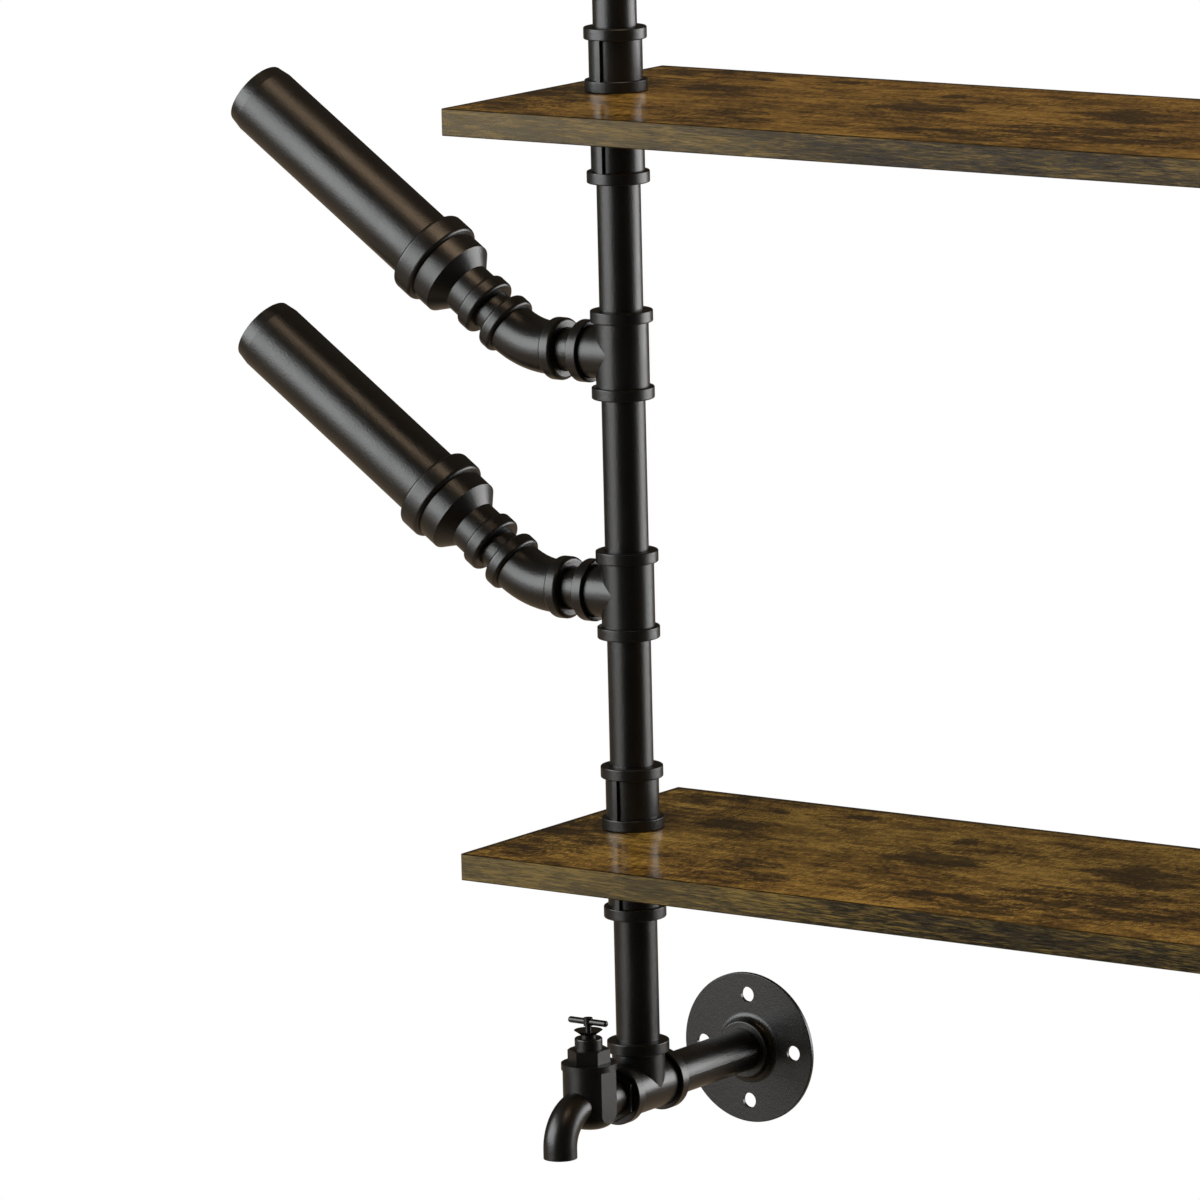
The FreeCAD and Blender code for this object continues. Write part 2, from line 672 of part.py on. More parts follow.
def make_branch(side, tier, nipples):
    """A tee on the post with its nipples, elbow, reducer and tilted bottle tube."""
    sign = side_sign[side]
    toward = "-" if side == "left" else "+"
    back = "+" if side == "left" else "-"
    post_x = sign + "post_spacing / 2"
    level = tee_level[tier]
    y = "-" + post_y
    name = tier + "_%s_" + side
    vertical = FreeCAD.Vector(0, 0, 1)
    level_axis = FreeCAD.Vector(0, 1, 0)
    facing = half_turn if side == "left" else 0
    place(make_tee(name % "branch_tee"), post_x, y, level, (vertical, facing))

    corner = post_x + " " + toward + " " + corner_x
    tangent = "elbow_bend * tan(turn_angle / 2)"
    elbow = make_elbow(name % "elbow", "elbow_bend", "elbow_leg", "turn_angle",
                       "elbow_bead_length", "elbow_bead_round")
    place(elbow, corner + " " + back + " " + tangent, y, level + " + elbow_bend",
          (vertical, half_turn - facing))

    lean = "(" + ("turn_angle - " if side == "left" else "") + str(quarter_turn)
    lean = lean + (")" if side == "left" else " - turn_angle)")

    def along(distance):
        return {"x": corner + " " + toward + " " + distance + " * cos(turn_angle)", "y": y,
                "z": level + " + " + distance + " * sin(turn_angle)", "turn": (level_axis, lean)}

    inner = pipe(name % "inner_nipple", "(inner_nipple_show + 2 * thread_depth)")
    inner_start = "(tee_branch - thread_depth)"
    outward = "-" + str(quarter_turn) if side == "left" else str(quarter_turn)
    place(inner, post_x + " " + toward + " " + inner_start, y, level, (level_axis, outward))
    outer = pipe(name % "outer_nipple", "(outer_nipple_show + 2 * thread_depth)")
    place(outer, **along("(elbow_leg - thread_depth)"))
    nipples.extend([inner, outer])
    place(make_reducer(name % "reducer"), **along(reducer_start))
    tube_start = "(" + reducer_start + " + " + reducer_length + " - reducer_socket)"
    place(make_tube(name % "bottle_tube"), **along(tube_start))


def make_tap(side):
    """All pieces of a tap, about the column's axis in front of the bottom tee."""
    makers = {"tap_body": make_tap_body, "tap_bonnet": make_bonnet,
              "tap_gland_nut": make_gland_nut, "tap_spindle": make_spindle,
              "tap_handle_bar": make_handle_bar, "tap_jumper": make_jumper,
              "tap_washer": make_washer}
    for kind, make in makers.items():
        place(make(kind + "_" + side), side_sign[side] + "post_spacing / 2",
              "-" + post_y + " - tap_reach", "-" + flange_level)


def make_post(side, groups):
    """Couplings, pipes, ends and wall flanges of one post."""
    post_x = side_sign[side] + "post_spacing / 2"
    y = "-" + post_y
    across = FreeCAD.Vector(1, 0, 0)
    for tier, level in board_level.items():
        make_coupling("coupling_on_" + tier + "_" + side, post_x, level + " + board_thick")
        make_coupling("coupling_under_" + tier + "_" + side, post_x, level + " - coupling_length")
        nipple = pipe(tier + "_board_nipple_" + side, "board_thick + 2 * " + coupling_socket)
        groups["board_nipples"].append(place(nipple, post_x, y, level + " - " + coupling_socket))

    tee_socket = "(tee_half_run - thread_depth)"
    branch_socket = "(tee_branch - thread_depth)"
    lower_top = board_level["lower"] + " + board_thick + coupling_length - " + coupling_socket
    upper_under = board_level["upper"] + " - coupling_length + " + coupling_socket
    foot_end = board_level["lower"] + " - coupling_length + " + coupling_socket
    head_start = board_level["upper"] + " + board_thick + coupling_length - " + coupling_socket
    spans = {
        "post_pipe_lower": (lower_top, tee_level["lower"] + " - " + tee_socket),
        "post_pipe_middle": (tee_level["lower"] + " + " + tee_socket,
                             tee_level["upper"] + " - " + tee_socket),
        "post_pipe_upper": (tee_level["upper"] + " + " + tee_socket, upper_under),
        "head_pipe": (head_start, flange_level + " - " + branch_socket),
        "foot_pipe": ("-" + flange_level + " + " + branch_socket, foot_end),
    }
    for kind, (start, end) in spans.items():
        length = "((" + end + ") - (" + start + "))"
        piece = place(pipe(kind + "_" + side, length), post_x, y, start)
        if kind == "foot_pipe":
            groups["foot_pipes"].append(piece)
        else:
            nodes.append(piece)

    # The bottom tee lies front to back with its branch up; the top corner turns to the wall.
    tee = make_tee("bottom_tee_" + side)
    place(tee, post_x, y, "-" + flange_level, (FreeCAD.Vector(1, 1, 1), full_turn * 2 / 3))
    elbow = make_elbow("top_elbow_" + side, corner_bend, "tee_branch", str(quarter_turn),
                       "bead_length", "bead_round")
    place(elbow, post_x, y + " + " + corner_bend, flange_level + " - " + corner_bend,
          (FreeCAD.Vector(1, 1, 0), half_turn))
    for level_name, level, start in (("lower", "-" + flange_level, tee_socket),
                                     ("upper", flange_level, branch_socket)):
        make_flange(level_name + "_flange_" + side, post_x, level)
        length = post_y + " - flange_stop - " + start
        wall_pipe = pipe(level_name + "_wall_pipe_" + side, length)
        groups["wall_pipes"].append(
            place(wall_pipe, post_x, "-flange_stop", level, (across, quarter_turn)))


for tier in board_level:
    make_board(tier)
shared = {"board_nipples": [], "foot_pipes": [], "wall_pipes": [], "branch_nipples": []}
for side in side_sign:
    make_post(side, shared)
    for tier in tee_level:
        make_branch(side, tier, shared["branch_nipples"])
    make_tap(side)
for group_name, members in shared.items():
    group(group_name, members)
doc.recompute()

for thing in doc.Objects:
    if "Invalid" in thing.State or "Error" in thing.State:
        raise RuntimeError("%s did not build: %s" % (thing.Name, thing.State))
for node in nodes:
    if node.Shape.isNull() or not node.Shape.isValid():
        raise RuntimeError("%s has no valid solid" % node.Label)

os.makedirs("parts", exist_ok=True)
for node in nodes:
    node.Shape.exportStep(os.path.join("parts", node.Label + ".step"))
    box = node.Shape.BoundBox
    print("%-28s solids %d  volume %10.1f  x %7.1f %7.1f  y %7.1f %7.1f  z %7.1f %7.1f" % (
        node.Label, len(node.Shape.Solids), node.Shape.Volume,
        box.XMin, box.XMax, box.YMin, box.YMax, box.ZMin, box.ZMax))
print("%d sub-parts" % len(nodes))
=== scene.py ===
import json
import math
import bpy
from mathutils import Matrix, Vector


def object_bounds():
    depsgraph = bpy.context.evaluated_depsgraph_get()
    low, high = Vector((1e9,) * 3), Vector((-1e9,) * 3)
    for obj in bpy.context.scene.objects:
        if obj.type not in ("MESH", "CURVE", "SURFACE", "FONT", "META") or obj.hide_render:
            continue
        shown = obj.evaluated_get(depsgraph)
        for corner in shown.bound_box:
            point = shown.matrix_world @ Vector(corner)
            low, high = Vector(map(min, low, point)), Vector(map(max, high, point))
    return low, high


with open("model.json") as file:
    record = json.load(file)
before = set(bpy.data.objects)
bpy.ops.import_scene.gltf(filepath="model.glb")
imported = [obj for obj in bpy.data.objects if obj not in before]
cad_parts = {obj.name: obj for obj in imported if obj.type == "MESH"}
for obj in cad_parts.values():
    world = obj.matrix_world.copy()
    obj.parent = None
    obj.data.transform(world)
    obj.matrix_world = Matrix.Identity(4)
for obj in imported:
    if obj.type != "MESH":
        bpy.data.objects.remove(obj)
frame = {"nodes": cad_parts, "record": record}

# Bar shelf on black iron pipe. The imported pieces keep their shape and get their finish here.
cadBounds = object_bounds()
scene = bpy.context.scene
scene.view_settings.view_transform = "Standard"
nodes = frame["nodes"]
slotOf = {piece["node"]: piece["material_slot"] for piece in frame["record"]["subparts"]}
print("frame loaded:", len(nodes), "pieces")

plainWhite = (1.0, 1.0, 1.0, 1.0)
levelOnly = (1.0, 1.0, 0.0)         # times a place, this drops its height
noiseMiddle = 0.5
noiseSpan = {"low": 0.35, "high": 0.65}     # most of a noise's values lie between these


def addNode(tree, kind, **values):
    node = tree.nodes.new(kind)
    for name, value in values.items():
        setattr(node, name, value)
    return node


def feed(tree, socket, source):     # links a socket from another one, or sets its value
    if isinstance(source, bpy.types.NodeSocket):
        tree.links.new(source, socket)
    else:
        socket.default_value = source


def mathNode(tree, operation, first, second=0.5, third=0.5, clamp=False):
    node = addNode(tree, "ShaderNodeMath", operation=operation, use_clamp=clamp)
    for socket, source in zip(node.inputs, (first, second, third)):
        feed(tree, socket, source)
    return node.outputs[0]


def vectorNode(tree, operation, first, second=None, third=None, output="Vector"):
    node = addNode(tree, "ShaderNodeVectorMath", operation=operation)
    for socket, source in zip(node.inputs, (first, second, third)):
        if source is not None:
            feed(tree, socket, source)
    return node.outputs[output]


def spread(tree, value, low, high, toLow=0.0, toHigh=1.0):      # one range smoothly into another
    node = addNode(tree, "ShaderNodeMapRange", interpolation_type="SMOOTHSTEP")
    for socket, source in zip(node.inputs, (value, low, high, toLow, toHigh)):
        feed(tree, socket, source)
    return node.outputs[0]


def noise(tree, vector, scale, detail=2.0, roughness=0.5, output="Fac"):
    node = addNode(tree, "ShaderNodeTexNoise")
    for name, source in (("Vector", vector), ("Scale", scale), ("Detail", detail),
                         ("Roughness", roughness)):
        feed(tree, node.inputs[name], source)
    return node.outputs[output]


def stretchedNoise(tree, vector, waves, detail, roughness):     # waves a metre along each axis
    return noise(tree, vectorNode(tree, "MULTIPLY", vector, waves), 1.0, detail, roughness)


def objectPlace(tree):
    return addNode(tree, "ShaderNodeTexCoord").outputs["Object"]


def splitVector(tree, vector):
    node = addNode(tree, "ShaderNodeSeparateXYZ")
    feed(tree, node.inputs[0], vector)
    return node.outputs


def blendColours(tree, factor, first, second):      # the Mix node's colours are 6, 7 and output 2
    node = addNode(tree, "ShaderNodeMix", data_type="RGBA")
    feed(tree, node.inputs[0], factor)
    feed(tree, node.inputs[6], first)
    feed(tree, node.inputs[7], second)
    return node.outputs[2]


def colourSteps(tree, factor, steps):       # a ramp through (place, colour) steps
    ramp = addNode(tree, "ShaderNodeValToRGB")
    points = ramp.color_ramp.elements
    while len(points) < len(steps):
        points.new(0.5)
    for point, (where, colour) in zip(points, steps):
        point.position, point.color = where, colour
    feed(tree, ramp.inputs[0], factor)
    return ramp.outputs[0]


def newGroup(name, inputs, outputs):        # a node group with named sockets, still empty
    tree = bpy.data.node_groups.new(name, "ShaderNodeTree")
    for way, sockets in (("INPUT", inputs), ("OUTPUT", outputs)):
        for label, kind in sockets.items():
            tree.interface.new_socket(name=label, in_out=way, socket_type="NodeSocket" + kind)
    return tree, tree.nodes.new("NodeGroupInput").outputs, tree.nodes.new("NodeGroupOutput").inputs


def useGroup(tree, group, **values):        # underscores stand for spaces in the inputs' names
    node = addNode(tree, "ShaderNodeGroup", node_tree=group)
    for label, source in values.items():
        feed(tree, node.inputs[label.replace("_", " ")], source)
    return node.outputs


def newMaterial(name):
    material = bpy.data.materials.new(name)
    material.use_nodes = True
    return material, material.node_tree, material.node_tree.nodes["Principled BSDF"]


def addBump(tree, shader, height, distance, strength=1.0):
    bump = addNode(tree, "ShaderNodeBump")
    bump.inputs["Distance"].default_value = distance
    feed(tree, bump.inputs["Strength"], strength)
    feed(tree, bump.inputs["Height"], height)
    feed(tree, shader.inputs["Normal"], bump.outputs[0])


def seenPlainly(tree):      # 1 for the camera's own rays, through glass too
    rays = addNode(tree, "ShaderNodeLightPath")
    return mathNode(tree, "ADD", rays.outputs["Is Camera Ray"],
                    rays.outputs["Is Transmission Ray"], clamp=True)


def srgb(red, green, blue):     # a display colour, 0 to 255, as the linear colour that nodes take
    def linear(value):
        value = value / 255
        return value / 12.92 if value <= 0.04045 else ((value + 0.055) / 1.055) ** 2.4
    return (linear(red), linear(green), linear(blue), 1.0)


view = {
    # matched to the photo's edges: place in metres, turns in degrees, lens in millimetres
    "place": (2.5874, -4.5385, 0.9090),
    "yaw": 35.590,
    "pitch": 10.304,        # downwards
    "roll": 1.350,
    "lens": 272.64,
    "sensor": 36.0,
    "reach": 100.0,
}


def makeCamera():
    camera = bpy.data.objects.new("shelfCamera", bpy.data.cameras.new("shelfCamera"))
    scene.collection.objects.link(camera)
    camera.data.lens = view["lens"]
    camera.data.sensor_width = view["sensor"]
    camera.data.clip_end = view["reach"]
    turn = Matrix.Rotation(math.radians(view["yaw"]), 4, "Z")
    tip = Matrix.Rotation(math.radians(90 - view["pitch"]), 4, "X")
    roll = Matrix.Rotation(math.radians(-view["roll"]), 4, "Z")
    camera.matrix_world = Matrix.Translation(view["place"]) @ turn @ tip @ roll
    scene.camera = camera


makeCamera()
print("camera placed")

floorLook = {
    "below": 0.87,          # under the lowest piece
    "size": 40.0,
    "colour": (0.80, 0.80, 0.80, 1.0),
    "roughness": 0.9,
    "whiteShare": 0.65,     # how far the camera sees plain white in place of the lit floor
    "litWithin": 1.1,       # the lit floor fades into plain white between these radii
    "whiteBeyond": 3.0,
}


def makeFloor():
    level = cadBounds[0][2] - floorLook["below"]
    half = floorLook["size"] / 2
    mesh = bpy.data.meshes.new("studioFloor")
    corners = [(x * half, y * half, level) for x, y in ((-1, -1), (1, -1), (1, 1), (-1, 1))]
    mesh.from_pydata(corners, [], [(0, 1, 2, 3)])
    floor = bpy.data.objects.new("studioFloor", mesh)
    scene.collection.objects.link(floor)
    floor.visible_glossy = False        # gloss sees the surround below the shelf in its place
    material, tree, lit = newMaterial("studioFloor")
    lit.inputs["Base Color"].default_value = floorLook["colour"]
    lit.inputs["Roughness"].default_value = floorLook["roughness"]
    lit.inputs["Specular IOR Level"].default_value = 0.0
    white = addNode(tree, "ShaderNodeEmission")
    white.inputs["Color"].default_value = plainWhite
    flat = vectorNode(tree, "MULTIPLY", objectPlace(tree), levelOnly)
    share = spread(tree, vectorNode(tree, "LENGTH", flat, output="Value"), floorLook["litWithin"],
                   floorLook["whiteBeyond"], floorLook["whiteShare"], 1.0)
    mix = addNode(tree, "ShaderNodeMixShader")
    feed(tree, mix.inputs[0], mathNode(tree, "MULTIPLY", seenPlainly(tree), share))
    feed(tree, mix.inputs[1], lit.outputs[0])
    feed(tree, mix.inputs[2], white.outputs[0])
    side = addNode(tree, "ShaderNodeNewGeometry")       # clear from below, for the low views
    clear = addNode(tree, "ShaderNodeBsdfTransparent")
    oneSided = addNode(tree, "ShaderNodeMixShader")
    feed(tree, oneSided.inputs[0], side.outputs["Backfacing"])
    feed(tree, oneSided.inputs[1], mix.outputs[0])
    feed(tree, oneSided.inputs[2], clear.outputs[0])
    feed(tree, tree.nodes["Material Output"].inputs["Surface"], oneSided.outputs[0])
    mesh.materials.append(material)
    return floor


surround = {
    "ambient": 0.30,                    # what diffuse surfaces get from the room
    "glossTint": (1.0, 0.76, 0.52, 1.0),
    "glossAbove": 0.11,                 # what gloss sees of the room above, level with and
    "glossLevel": 0.045,                # below the shelf
    "glossBelow": 0.43,
    "belowFrom": -0.50,                 # the direction's rise, between which these change
    "belowTo": 0.04,
    "aboveFrom": 0.25,
    "aboveTo": 0.70,
    "darkToward": (0.80, -0.60, 0.0),   # the unlit end of the room
    "darkFrom": 0.00,
    "darkTo": 0.60,
    "glossDark": 0.03,
}


def makeSurround():
    world = bpy.data.worlds.new("studioSurround")
    scene.world = world
    world.use_nodes = True
    tree = world.node_tree
    rays = addNode(tree, "ShaderNodeLightPath")
    direction = addNode(tree, "ShaderNodeTexCoord").outputs["Generated"]
    rise = splitVector(tree, direction)["Z"]
    low = spread(tree, rise, surround["belowFrom"], surround["belowTo"],
                 surround["glossBelow"], surround["glossLevel"])
    high = spread(tree, rise, surround["aboveFrom"], surround["aboveTo"],
                  0.0, surround["glossAbove"] - surround["glossLevel"])
    room = mathNode(tree, "ADD", low, high)
    toward = vectorNode(tree, "DOT_PRODUCT", direction, surround["darkToward"], output="Value")
    unlit = spread(tree, toward, surround["darkFrom"], surround["darkTo"])
    room = mathNode(tree, "MULTIPLY_ADD", unlit,
                    mathNode(tree, "SUBTRACT", surround["glossDark"], room), room)
    gloss = mathNode(tree, "MULTIPLY", rays.outputs["Is Glossy Ray"],
                     mathNode(tree, "SUBTRACT", room, surround["ambient"]))
    plain = mathNode(tree, "ADD", surround["ambient"], gloss)
    background = tree.nodes["Background"]
    feed(tree, background.inputs["Color"], blendColours(
        tree, rays.outputs["Is Glossy Ray"], plainWhite, surround["glossTint"]))
    feed(tree, background.inputs["Strength"], mathNode(tree, "MAXIMUM", plain, seenPlainly(tree)))


# Soft boxes: azimuth 0 stands behind the wall and 90 to the right; distance and sizes in metres.
# The boards take diffuse light but no gloss from those that spare them, or their tops turn white
# from some low sides. Their front edges shine in the low gleam, which gives gloss alone.
lamps = {
    "frontLeftBox": {
        "azimuth": -136, "elevation": 13.6, "distance": 3.6, "width": 3.3, "height": 2.2,
        "radiance": 6.4, "colour": (0.965, 1.0, 0.995), "sparesBoards": True,
    },
    "frontLeftGlow": {
        "azimuth": -145, "elevation": -10, "distance": 3.6, "width": 2.3, "height": 1.1,
        "radiance": 1.45, "colour": (1.0, 1.0, 1.0), "sparesBoards": True,
    },
    "backRightBox": {
        "azimuth": 38, "elevation": 1, "distance": 3.6, "width": 3.2, "height": 1.9,
        "radiance": 7.0, "colour": (1.0, 1.0, 1.0), "sparesBoards": True,
    },
    "warmCeiling": {
        "azimuth": 125, "elevation": 74, "distance": 3.6, "width": 2.2, "height": 2.2,
        "radiance": 4.9, "colour": (1.0, 0.73, 0.49), "sparesBoards": False,
    },
}
boardGleam = {
    "azimuth": -145, "elevation": -2.8, "distance": 3.6, "width": 3.3, "height": 0.4,
    "radiance": 15.4, "colour": (1.0, 0.905, 0.823),
}


def makeLamp(name, lamp, lit=None, gloss=True, diffuse=True):       # it faces the shelf's middle
    light = bpy.data.lights.new(name, "AREA")
    light.shape = "RECTANGLE"
    light.size, light.size_y = lamp["width"], lamp["height"]
    light.energy = lamp["radiance"] * math.pi * lamp["width"] * lamp["height"]
    light.color = lamp["colour"]
    box = bpy.data.objects.new(name, light)
    scene.collection.objects.link(box)
    azimuth, elevation = math.radians(lamp["azimuth"]), math.radians(lamp["elevation"])
    away = Vector((math.sin(azimuth) * math.cos(elevation),
                   math.cos(azimuth) * math.cos(elevation), math.sin(elevation)))
    box.location = away * lamp["distance"]
    box.rotation_mode = "QUATERNION"
    box.rotation_quaternion = away.to_track_quat("Z", "Y")
    box.visible_camera = False
    box.visible_glossy = gloss
    box.visible_diffuse = diffuse
    if lit:
        box.light_linking.receiver_collection = lit


def litGroup(name, things):     # for lamps that don't light everything
    group = bpy.data.collections.new(name)
    for thing in things:
        group.objects.link(thing)
    return group


studioFloor = makeFloor()
makeSurround()
boards = [piece for name, piece in nodes.items() if slotOf[name] == "board"]
others = [piece for name, piece in nodes.items() if slotOf[name] != "board"]
boardGroup = litGroup("litBoards", boards)
ironGroup = litGroup("litIron", [studioFloor] + others)
for lampName, lampValues in lamps.items():
    if lampValues["sparesBoards"]:
        makeLamp(lampName, lampValues, ironGroup)
        makeLamp(lampName + "OnBoards", lampValues, boardGroup, gloss=False)
    else:
        makeLamp(lampName, lampValues)
makeLamp("boardGleam", boardGleam, boardGroup, diffuse=False)
print("studio ready:", len(lamps), "soft boxes and the gleam on the boards")

grainForm = {
    "patches": 22.0,            # waves a metre
    "detail": 3.0,
    "roughness": 0.6,
    "castingRoughness": 0.55,
    "low": 0.34,                # of the noise, where the masks are 0 and 1
    "high": 0.66,
}


def makePowderGrain():      # tiny pits and bumps as in powder paint, and slow changes of tone
    tree, given, result = newGroup(
        "powderGrain", {"Grain": "Float", "Casting": "Float", "Casting Share": "Float"},
        {"Tone": "Float", "Patches": "Float", "Height": "Float"})
    place, detail = objectPlace(tree), grainForm["detail"]
    fine = noise(tree, place, given["Grain"], detail, grainForm["roughness"])
    coarse = noise(tree, place, given["Casting"], detail, grainForm["castingRoughness"])
    slow = noise(tree, place, grainForm["patches"], detail, grainForm["roughness"])
    feed(tree, result["Tone"], spread(tree, fine, grainForm["low"], grainForm["high"]))
    feed(tree, result["Patches"], spread(tree, slow, grainForm["low"], grainForm["high"]))
    powderShare = mathNode(tree, "SUBTRACT", 1.0, given["Casting Share"])
    cast = mathNode(tree, "MULTIPLY", coarse, given["Casting Share"])
    powder = mathNode(tree, "MULTIPLY", fine, powderShare)
    feed(tree, result["Height"], mathNode(tree, "ADD", cast, powder))
    return tree


powderGrain = makePowderGrain()

# grain and casting in waves a metre, bump in metres
pipeLook = {
    "dark": (0.0016, 0.0014, 0.0012, 1.0), "pale": (0.0040, 0.0035, 0.0030, 1.0),
    "smooth": 0.28, "rough": 0.33, "grain": 1000.0, "casting": 130.0, "castingShare": 0.18,
    "bump": 0.00018,
}
fittingLook = {
    "dark": (0.0014, 0.0013, 0.0012, 1.0), "pale": (0.0038, 0.0035, 0.0031, 1.0),
    "smooth": 0.31, "rough": 0.36, "grain": 700.0, "casting": 170.0, "castingShare": 0.40,
    "bump": 0.00013,
}
tapLook = {
    "dark": (0.0014, 0.0013, 0.0012, 1.0), "pale": (0.0038, 0.0035, 0.0031, 1.0),
    "smooth": 0.31, "rough": 0.36, "grain": 900.0, "casting": 220.0, "castingShare": 0.40,
    "bump": 0.00012,
}
spindleLook = {
    "dark": (0.0016, 0.0015, 0.0014, 1.0), "pale": (0.0036, 0.0033, 0.0030, 1.0),
    "smooth": 0.24, "rough": 0.30, "grain": 1400.0, "casting": 300.0, "castingShare": 0.2,
    "bump": 0.00005,
}
calmOutline = {"from": 0.55, "to": 0.90, "bumpLeft": 0.15}      # the bump fades at grazing angles


def grainOf(tree, look):
    return useGroup(tree, powderGrain, Grain=look["grain"], Casting=look["casting"],
                    Casting_Share=look["castingShare"])


def makeIron(name, look):
    material, tree, shader = newMaterial(name)
    grain = grainOf(tree, look)
    feed(tree, shader.inputs["Base Color"],
         blendColours(tree, grain["Tone"], look["dark"], look["pale"]))
    feed(tree, shader.inputs["Roughness"],
         spread(tree, grain["Patches"], 0.0, 1.0, look["smooth"], look["rough"]))
    facing = addNode(tree, "ShaderNodeLayerWeight").outputs["Facing"]
    strength = spread(tree, facing, calmOutline["from"], calmOutline["to"],
                      1.0, calmOutline["bumpLeft"])
    addBump(tree, shader, grain["Height"], look["bump"], strength)
    return material


boardPoints = nodes["upper_board"].data.vertices        # the lower board ends at the same places
boardEnd = max(point.co.x for point in boardPoints)
boardBack = max(point.co.y for point in boardPoints)

printLook = {
    # steps of the print on top and underside, from the deepest tone to the palest
    "steps": [(0.12, srgb(48, 34, 14)), (0.34, srgb(78, 56, 22)), (0.52, srgb(110, 82, 35)),
              (0.72, srgb(138, 106, 47)), (0.95, srgb(164, 129, 62))],
    "smoke": srgb(40, 30, 15),
    "smokeShare": 0.72,
    "smooth": 0.10,
    "rough": 0.17,
    "specular": 0.45,
    "bump": 0.00008,
}
undersideLook = dict(printLook, smooth=0.40, rough=0.50, specular=0.03)     # unpolished
printFigure = {
    # streaks in three sizes: waves a metre along, across and through the board
    "broad": (10.0, 24.0, 1.0),
    "middle": (36.0, 92.0, 1.0),
    "fine": (290.0, 240.0, 1.0),
    "lightness": 0.585,             # where all masks are at their middle, and what each adds
    "broadShare": 1.2,
    "middleShare": 1.55,
    "fineShare": 1.1,
    "tickShare": 0.6,
    "sawnShare": 0.8,
    "patchShare": -0.16,
    # waves, detail and roughness of the small ticks and of the saw marks across the board
    "ticks": ((760.0, 150.0, 1.0), 2.0, 0.6),
    "sawMarks": ((420.0, 13.0, 1.0), 1.0, 0.5),
    "sawnAreas": 16.0,              # waves a metre, and the noise at which the marks fade in
    "sawnFrom": 0.48,
    "sawnTo": 0.62,
    # bends of the streaks and patches: waves a metre, and how far they push each axis
    "bends": [(14.0, (0.030, 0.016, 0.0)), (70.0, (0.010, 0.006, 0.0))],
    # smoke lies in the patches and is broken up by the streaks
    "smokeMiddleShare": -1.7,
    "smokeFineShare": -1.3,
    "smokeFrom": 0.28,
    "smokeTo": 0.85,
}
edgeLook = {
    "steps": [(0.05, srgb(9, 6, 2)), (0.34, srgb(24, 18, 5)), (0.58, srgb(45, 35, 9)),
              (0.95, srgb(94, 74, 25))],
    "grey": srgb(96, 84, 57),       # towards the board's ends
    "greyShare": 0.35,
    "paleEnds": 0.16,
    "greyFrom": boardEnd - 0.32,
    "greyTo": boardEnd - 0.02,
    "smooth": 0.24,
    "rough": 0.32,
    "specular": 0.10,
    "bump": 0.00012,
}
edgeFigure = {
    "broad": (12.0, 12.0, 50.0),    # waves a metre, as in the print
    "middle": (42.0, 42.0, 560.0),
    "fine": (95.0, 95.0, 1500.0),
    "lightness": 0.50,
    "broadShare": 1.5,
    "middleShare": 1.2,
    "fineShare": 2.0,
    "bends": [(45.0, (0.016, 0.016, 0.0012))],
}
arrisLook = {                       # the rounded edges, and the rim of the print next to them
    "colour": srgb(30, 23, 11),
    "pale": srgb(52, 40, 20),
    "wear": 90.0,                   # waves a metre
    "wearDetail": 3.0,
    "roughness": 0.5,
    "rimShare": 0.85,               # of its colour, in the print next to the ends and the back
    "endFrom": boardEnd - 0.0055,
    "endTo": boardEnd - 0.0025,
    "backFrom": boardBack - 0.0075,
    "backTo": boardBack - 0.0035,
}

# Dark patches on the top, given one by one: centre along and across the board, half length, half
# width, depth. Most are the print's own; the broad, faint ones below are partly painted shade.
boardPatches = [
    (-0.553, -0.019, 0.022, 0.008, 0.80), (-0.507, -0.083, 0.034, 0.013, 0.90),
    (-0.492, -0.079, 0.014, 0.010, 1.00), (-0.497, -0.038, 0.007, 0.005, 1.30),
    (-0.4475, -0.029, 0.010, 0.006, 1.50), (-0.350, -0.058, 0.014, 0.010, 0.95),
    (-0.345, -0.108, 0.042, 0.022, 0.95), (-0.325, -0.112, 0.018, 0.015, 1.10),
    (-0.430, -0.172, 0.024, 0.014, 0.70), (-0.405, -0.200, 0.036, 0.012, 0.80),
    (-0.300, -0.150, 0.030, 0.010, 0.55), (-0.270, -0.196, 0.044, 0.014, 0.80),
    (-0.245, -0.215, 0.036, 0.012, 0.95), (-0.216, -0.086, 0.030, 0.024, 1.00),
    (-0.186, -0.108, 0.016, 0.022, 0.95), (-0.160, -0.060, 0.030, 0.010, 0.70),
    (-0.150, -0.190, 0.038, 0.016, 0.85), (-0.090, -0.130, 0.044, 0.020, 0.90),
    (-0.060, -0.050, 0.046, 0.014, 0.80), (0.000, -0.205, 0.050, 0.013, 0.85),
    (0.030, -0.105, 0.052, 0.020, 0.95), (0.105, -0.160, 0.034, 0.022, 0.85),
    (0.135, -0.045, 0.040, 0.012, 0.80), (0.200, -0.110, 0.046, 0.024, 1.00),
    (0.250, -0.205, 0.044, 0.014, 0.85), (0.300, -0.070, 0.034, 0.018, 0.90),
    (0.365, -0.150, 0.050, 0.020, 0.95), (0.410, -0.040, 0.030, 0.010, 0.75),
    (0.455, -0.205, 0.036, 0.012, 0.80), (0.480, -0.100, 0.034, 0.020, 0.90),
    (0.560, -0.160, 0.030, 0.022, 0.90), (0.570, -0.050, 0.022, 0.012, 0.80),
    # broad, faint dark patches: partly the print's tone, partly painted shade where the light
    # falls off
    (-0.575, -0.130, 0.040, 0.120, 0.75), (-0.205, -0.175, 0.080, 0.045, 0.70),
    (0.220, -0.060, 0.090, 0.040, 0.50), (0.590, -0.120, 0.030, 0.120, 0.50),
]
patchForm = {"core": 0.15, "rim": 1.7}      # shares of its half sizes, between which a patch fades


